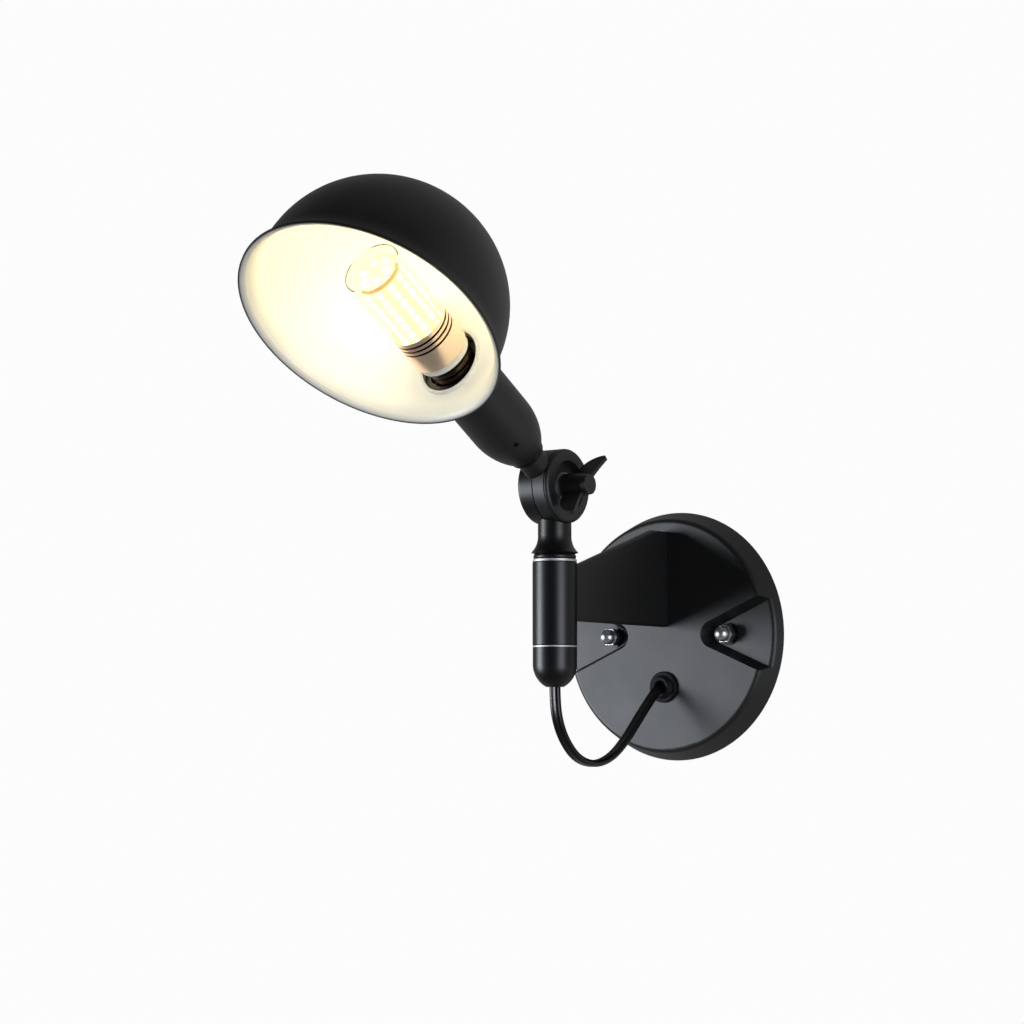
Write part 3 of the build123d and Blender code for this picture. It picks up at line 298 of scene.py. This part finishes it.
# Shade: a spun steel dome with a flared rim, powder coated black outside and enamelled white inside.
# It is clamped between the cup and the ring on the lampholder.
# The bulb's joint gives the neck's line, which starts at the knuckle; the dome and its mouth lie off it.
bulb_turn = next(joint for joint in frame["joints"] if joint["name"] == "bulb_turn")
knuckle_at, neck_way = np.array(bulb_turn["pos_m"]), np.array(bulb_turn["axis"])
neck_rise = np.array([0.0, neck_way[2], -neck_way[1]])
dome_along, dome_below = 0.1753, 0.0127
dome_at = knuckle_at + dome_along * neck_way - dome_below * neck_rise
mouth_turn = math.radians(84.9)
mouth_way = math.cos(mouth_turn) * neck_way - math.sin(mouth_turn) * neck_rise

# The black coat covers what faces away from the dome's middle and wraps over the rolled lip, whose edge is
# 73.3 mm off the mouth's axis. Across the lip the white fades into the black: partly the coat's edge, partly
# painted shade where the lip turns away from the bulb's light.
lip_fade_from, lip_fade_full = 71.8e-3, 72.7e-3
least_outward = 10e-3
drift_size = 25e-3
dome_coats, tree, shader = start_finish("black_and_white_shade_coats", {"IOR": 1.6})
place = add(tree, "ShaderNodeTexCoord")
from_middle = add(tree, "ShaderNodeVectorMath", {1: dome_at.tolist()}, {0: place.outputs["Object"]},
                  operation="SUBTRACT")
facing = add(tree, "ShaderNodeVectorMath", (),
             {0: from_middle.outputs["Vector"], 1: place.outputs["Normal"]}, operation="DOT_PRODUCT")
outward = add(tree, "ShaderNodeMath", {1: least_outward}, {0: facing.outputs["Value"]},
              operation="GREATER_THAN")
spin = add(tree, "ShaderNodeVectorMath", {1: mouth_way.tolist()}, {0: from_middle.outputs["Vector"]},
           operation="CROSS_PRODUCT")
off_mouth = add(tree, "ShaderNodeVectorMath", (), {0: spin.outputs["Vector"]}, operation="LENGTH")
# Painted shade on the lip, with the coat's edge: from 71.8 to 72.7 mm off the mouth's axis the white fades to
# black.
lip_coat_and_shade = add(tree, "ShaderNodeMapRange", {"From Min": lip_fade_from, "From Max": lip_fade_full},
                {"Value": off_mouth.outputs["Value"]})
outside = add(tree, "ShaderNodeMath", (), {0: outward.outputs["Value"], 1: lip_coat_and_shade.outputs["Result"]},
              operation="MAXIMUM")
peel = add(tree, "ShaderNodeTexNoise", {"Scale": 1 / peel_size, "Detail": 2.0},
           {"Vector": place.outputs["Object"]})
drift = add(tree, "ShaderNodeTexNoise", {"Scale": 1 / drift_size, "Detail": 3.0},
            {"Vector": place.outputs["Object"]})
tone = add(tree, "ShaderNodeMix", {"A": linear("#f4f3ec"), "B": linear("#070708")},
           {"Factor": outside.outputs["Value"]}, data_type="RGBA")
satin = add(tree, "ShaderNodeMapRange", {"To Min": 0.44, "To Max": 0.52}, {"Value": drift.outputs["Fac"]})
gloss = add(tree, "ShaderNodeMix", {"A": 0.45},
            {"Factor": outside.outputs["Value"], "B": satin.outputs["Result"]})
dimple = add(tree, "ShaderNodeBump", {"Strength": 0.05, "Distance": peel_depth},
             {"Height": peel.outputs["Fac"]})
tree.links.new(tone.outputs["Result"], shader.inputs["Base Color"])
tree.links.new(gloss.outputs["Result"], shader.inputs["Roughness"])
tree.links.new(dimple.outputs["Normal"], shader.inputs["Normal"])
coat(dome_coats, "shade")

# Shade ring: a pressed steel ring under gloss white enamel.
# It clamps the shade onto the lampholder from inside.
enamel = cloudy_finish("gloss_white_enamel", cloud=8e-3, tones=("#eeebe3", "#f8f6f0"), rough=(0.16, 0.28),
                       values={"IOR": 1.52})
coat(enamel, "shade_ring")

# Bulb's screw cap: nickel plated brass, rolled with its thread and crimped onto the insulating ring.
# Its tone is painted dark, in clouds: painted shade, as it sits deep in the lampholder.
nickel_painted_shade = cloudy_finish("nickel_cap_painted_shade", cloud=3e-3, detail=4.0, tones=("#2a231c", "#5c5043"),
                       rough=(0.42, 0.28), values={"Metallic": 1.0})
coat(nickel_painted_shade, "bulb_cap")

# Bulb's insulating ring: white polycarbonate, moulded with a soft gloss.
# It is pressed between the cap and the heat sink.
white_moulding = cloudy_finish("white_polycarbonate", cloud=5e-3, tones=("#ebe9e4", "#f7f6f2"),
                               rough=(0.25, 0.38), values={"IOR": 1.58, "Subsurface Weight": 0.1})
coat(white_moulding, "bulb_insulator")


# Heat sink: turned aluminium, anodised rose gold, with three cooling grooves under the cover.
# Anodised turning: satin metal with fine rings round the bulb's axis. The grooves, nearer the axis than
# the proud rings and short of the sink's top, are painted dark brown as painted shade in the grooves.
def along_neck(tree, place):
    """Sockets for how far a point is along the neck from the knuckle, its dot product with the neck's way,
    and for how far it is off the neck's line, the length of its cross product with the neck's way."""
    from_knuckle = add(tree, "ShaderNodeVectorMath", {1: knuckle_at.tolist()}, {0: place.outputs["Object"]},
                       operation="SUBTRACT")
    up_neck = add(tree, "ShaderNodeVectorMath", {1: neck_way.tolist()}, {0: from_knuckle.outputs["Vector"]},
                  operation="DOT_PRODUCT")
    swing = add(tree, "ShaderNodeVectorMath", {1: neck_way.tolist()}, {0: from_knuckle.outputs["Vector"]},
                operation="CROSS_PRODUCT")
    off_axis = add(tree, "ShaderNodeVectorMath", (), {0: swing.outputs["Vector"]}, operation="LENGTH")
    return up_neck.outputs["Value"], off_axis.outputs["Value"]


ring_pitch = 0.6e-3
groove_r, proud_r = 15.5e-3, 16.0e-3
sink_top = 0.1452
anodised, tree, shader = start_finish("rose_gold_anodised_aluminium", {"Metallic": 1.0})
place = add(tree, "ShaderNodeTexCoord")
lathe_way = add(tree, "ShaderNodeVectorMath", {1: neck_way.tolist()}, {0: place.outputs["Object"]},
                operation="DOT_PRODUCT")
rings = add(tree, "ShaderNodeMath", {1: 2 * math.pi / ring_pitch}, {0: lathe_way.outputs["Value"]},
            operation="MULTIPLY")
ripple = add(tree, "ShaderNodeMath", (), {0: rings.outputs["Value"]}, operation="SINE")
lay = add(tree, "ShaderNodeMapRange", {"From Min": -1.0, "To Min": 0.26, "To Max": 0.38},
          {"Value": ripple.outputs["Value"]})
up_neck, off_axis = along_neck(tree, place)
# Painted shade: nearer the axis than proud_r and short of the sink's top, the tone goes dark brown.
proud = add(tree, "ShaderNodeMapRange", {"From Min": groove_r, "From Max": proud_r}, {"Value": off_axis})
at_top = add(tree, "ShaderNodeMath", {1: sink_top}, {0: up_neck}, operation="GREATER_THAN")
outside_painted_groove_shade = add(tree, "ShaderNodeMath", (), {0: proud.outputs["Result"], 1: at_top.outputs["Value"]},
             operation="MAXIMUM")
tone = add(tree, "ShaderNodeMix", {"A": linear("#5a2c10"), "B": linear("#ffe3cb")},
           {"Factor": outside_painted_groove_shade.outputs["Value"]}, data_type="RGBA")
tree.links.new(tone.outputs["Result"], shader.inputs["Base Color"])
tree.links.new(lay.outputs["Result"], shader.inputs["Roughness"])
coat(anodised, "bulb_heat_sink")

# Core and end disc: pale cream circuit boards, the core folded into a prism. They glow in their own tone:
# painted light for the chips' light falling on them.
# The end disc is glued on the core, and its edge is bare tan board.
weave_size = 2e-3
disc_edge_r, disc_from = 12.45e-3, 0.1846
board_with_painted_glow, tree, shader = start_finish("cream_board_painted_glow", {"IOR": 1.5, "Emission Strength": 0.65})
place = add(tree, "ShaderNodeTexCoord")
weave = add(tree, "ShaderNodeTexNoise", {"Scale": 1 / weave_size, "Detail": 3.0},
            {"Vector": place.outputs["Object"]})
mask = add(tree, "ShaderNodeMix", {"A": linear("#e2cd9c"), "B": linear("#efe2b8")},
           {"Factor": weave.outputs["Fac"]}, data_type="RGBA")
up_neck, off_axis = along_neck(tree, place)
near_edge = add(tree, "ShaderNodeMath", {1: disc_edge_r}, {0: off_axis}, operation="GREATER_THAN")
on_disc = add(tree, "ShaderNodeMath", {1: disc_from}, {0: up_neck}, operation="GREATER_THAN")
at_edge = add(tree, "ShaderNodeMath", (), {0: near_edge.outputs["Value"], 1: on_disc.outputs["Value"]},
              operation="MULTIPLY")
tone = add(tree, "ShaderNodeMix", {"B": linear("#c39a63")},
           {"Factor": at_edge.outputs["Value"], "A": mask.outputs["Result"]}, data_type="RGBA")
rough = add(tree, "ShaderNodeMapRange", {"To Min": 0.3, "To Max": 0.5}, {"Value": weave.outputs["Fac"]})
tree.links.new(tone.outputs["Result"], shader.inputs["Base Color"])
# Painted glow: the board's tone is also its emission, standing in for the chips' light on it.
tree.links.new(tone.outputs["Result"], shader.inputs["Emission Color"])
tree.links.new(rough.outputs["Result"], shader.inputs["Roughness"])
coat(board_with_painted_glow, "bulb_led_core", "bulb_top_disc")

# Light-emitting chips: cream silicone over each die, soldered in rows on the core. They glow warm white,
# a little less where the phosphor in the silicone is thin.
phosphor_size = 1.2e-3
chips, tree, shader = start_finish("glowing_chips", {
    "Base Color": linear("#fff4d6"), "Roughness": 0.35, "Emission Color": linear("#fff6dc")})
place = add(tree, "ShaderNodeTexCoord")
phosphor = add(tree, "ShaderNodeTexNoise", {"Scale": 1 / phosphor_size, "Detail": 2.0},
               {"Vector": place.outputs["Object"]})
power = add(tree, "ShaderNodeMapRange", {"To Min": 1.6, "To Max": 3.2}, {"Value": phosphor.outputs["Fac"]})
tree.links.new(power.outputs["Result"], shader.inputs["Emission Strength"])
coat(chips, "bulb_leds")

# Cover: a cup of clear polycarbonate, moulded in one piece, whose gloss is dulled a little in places.
# It is pushed over the core onto the heat sink.
drift_size = 10e-3
clear, tree, shader = start_finish("clear_polycarbonate", {
    "Base Color": linear("#fffdf4"), "IOR": 1.25, "Transmission Weight": 1.0})
place = add(tree, "ShaderNodeTexCoord")
drift = add(tree, "ShaderNodeTexNoise", {"Scale": 1 / drift_size, "Detail": 2.0},
            {"Vector": place.outputs["Object"]})
rough = add(tree, "ShaderNodeMapRange", {"To Min": 0.02, "To Max": 0.08}, {"Value": drift.outputs["Fac"]})
tree.links.new(rough.outputs["Result"], shader.inputs["Roughness"])
coat(clear, "bulb_cover")

# Glow: the light of all the chips, from one place in the core, so the core and its cover don't shade it.
# It fills the shade and moves with the bulb. The bright chips and boards themselves aren't picked as lamps.
glow_along = 0.178
for name in ("bulb_cover", "bulb_leds", "bulb_led_core", "bulb_top_disc"):
    nodes[name].visible_shadow = False
chips.cycles.emission_sampling = "NONE"
board_with_painted_glow.cycles.emission_sampling = "NONE"
glow = bpy.data.lights.new("bulb_glow", "POINT")
glow.energy = 0.105
glow.color = linear("#fff1c6")[:3]
glow.shadow_soft_size = 0.02
glow_object = bpy.data.objects.new("bulb_glow", glow)
glow_object.location = (knuckle_at + glow_along * neck_way).tolist()
scene.collection.objects.link(glow_object)
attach(glow_object, "bulb")

# Studio floor: a wide sheet of white paper well below the lamp. It shows as white as the background,
# and throws only a little light up under the lamp, most of it from behind.
backdrop_white = 0.975
floor_half, floor_level = 6.0, -0.9
corners = floor_half * np.array([[-1, -1], [1, -1], [1, 1], [-1, 1]])
paper_mesh = bpy.data.meshes.new("paper_floor")
paper_mesh.from_pydata(np.c_[corners, np.full(4, floor_level)].tolist(), [], [(0, 1, 2, 3)])
floor = bpy.data.objects.new("paper_floor", paper_mesh)
scene.collection.objects.link(floor)
paper, tree, shader = start_finish("white_paper", {
    "Base Color": linear("#000000"), "Roughness": 1.0, "Specular IOR Level": 0.0,
    "Emission Color": linear("#ffffff")})
seen = add(tree, "ShaderNodeLightPath")
place = add(tree, "ShaderNodeTexCoord")
spot = add(tree, "ShaderNodeSeparateXYZ", (), {"Vector": place.outputs["Object"]})
bounce = add(tree, "ShaderNodeMapRange", {"From Min": -0.8, "From Max": 1.2, "To Min": 0.08, "To Max": 0.4},
             {"Value": spot.outputs["Y"]})
shown = add(tree, "ShaderNodeMix", {"B": backdrop_white},
            {"Factor": seen.outputs["Is Camera Ray"], "A": bounce.outputs["Result"]})
tree.links.new(shown.outputs["Result"], shader.inputs["Emission Strength"])
paper.cycles.emission_sampling = "NONE"
floor.data.materials.append(paper)


# Studio light: a large soft box low on the left, a taller one on the right, a dim one overhead and a fill
# in front, all slightly cool.
def soft_box(name, place, aim, size, radiance, on_gloss):
    """An area light at place that faces aim; its power is its radiance times four times its area.
    It shows in glossy finishes, or else lights pale matt ones, as in two exposures laid together."""
    data = bpy.data.lights.new(name, "AREA")
    data.shape = "RECTANGLE"
    data.size, data.size_y = size
    data.color = linear("#f1f7ff")[:3]
    data.energy = radiance * 4 * size[0] * size[1]
    lamp = bpy.data.objects.new(name, data)
    lamp.location = place
    lamp.rotation_euler = (Vector(aim) - Vector(place)).to_track_quat("-Z", "Y").to_euler()
    lamp.visible_camera = False
    lamp.visible_glossy = on_gloss
    lamp.visible_diffuse = not on_gloss
    scene.collection.objects.link(lamp)


barrel_at = (0.0, -0.12, 0.02)
soft_box("left_soft_box", place=(-1.23, -1.14, -0.1), aim=barrel_at, size=(0.66, 0.72), radiance=11.6,
         on_gloss=True)
soft_box("right_soft_box", place=(1.41, -0.64, -0.11), aim=barrel_at, size=(0.75, 0.9), radiance=4.0,
         on_gloss=True)
soft_box("top_soft_box", place=(0.2, -0.5, 1.7), aim=(0.0, -0.2, 0.1), size=(1.4, 1.0), radiance=0.1,
         on_gloss=True)
soft_box("front_fill", place=(0.5, -1.9, 0.2), aim=(0.0, -0.25, 0.15), size=(1.2, 1.0), radiance=3.2,
         on_gloss=False)

# Studio room: white to the camera, as the photograph's background is. To the lamp it is dim,
# and lighter behind it than in front.
sky = bpy.data.worlds.new("white_studio")
scene.world = sky
sky.use_nodes = True
sky.cycles.sampling_method = "NONE"
tree = sky.node_tree
tree.nodes.clear()
seen = add(tree, "ShaderNodeLightPath")
place = add(tree, "ShaderNodeTexCoord")
way = add(tree, "ShaderNodeSeparateXYZ", (), {"Vector": place.outputs["Generated"]})
depth = add(tree, "ShaderNodeMapRange", {"From Min": -0.2, "From Max": 0.9, "To Min": 0.02, "To Max": 0.4},
            {"Value": way.outputs["Y"]})
dim_room = add(tree, "ShaderNodeBackground", {"Color": linear("#ffffff")},
               {"Strength": depth.outputs["Result"]})
white_back = add(tree, "ShaderNodeBackground", {"Color": linear("#ffffff"), "Strength": backdrop_white})
either = add(tree, "ShaderNodeMixShader", (),
             {0: seen.outputs["Is Camera Ray"], 1: dim_room.outputs[0], 2: white_back.outputs[0]})
add(tree, "ShaderNodeOutputWorld", (), {"Surface": either.outputs[0]})
scene.view_settings.view_transform = "Standard"

# Camera: a long lens that stands to the right of the lamp and a little below its pivot,
# and looks slightly up, so that the canopy and the shade keep the photograph's proportions.
camera_turn, camera_rise = math.radians(36.707), math.radians(5.296)
lens = bpy.data.cameras.new("studio_camera")
lens.sensor_width = 36.0
lens.lens = 84.375
camera = bpy.data.objects.new("studio_camera", lens)
camera.location = (0.79008, -1.22664, -0.05932)
camera.rotation_euler = (math.pi / 2 + camera_rise, 0.0, camera_turn)
scene.collection.objects.link(camera)
scene.camera = camera
